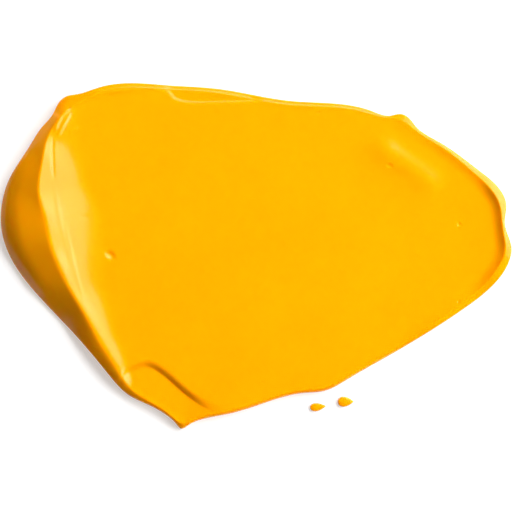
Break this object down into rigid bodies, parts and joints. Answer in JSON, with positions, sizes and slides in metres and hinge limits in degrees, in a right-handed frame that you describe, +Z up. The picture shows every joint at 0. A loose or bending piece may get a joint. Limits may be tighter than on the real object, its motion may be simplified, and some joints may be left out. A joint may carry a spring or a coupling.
{
  "type": "paint smear",
  "caption": "Knife-spread smear of thick glossy yellow paint with a raised bank at one end, a thin curled lip at the other and loose droplets beside it.",
  "frame": {"origin": "under the middle of the smear, on the flat face that the paint rests on", "axes": "+X along the smear, away from its bank; +Y across it; +Z up, out of the face"},
  "size_m": [0.07, 0.0474, 0.0046],
  "materials": {
    "paint": "thick opaque warm yellow paint film, glossy, with faint knife marks and bubbles"
  },
  "bodies": {
    "root": {"smear": "paint", "droplet_left": "paint", "droplet_right": "paint"}
  },
  "joints": []
}
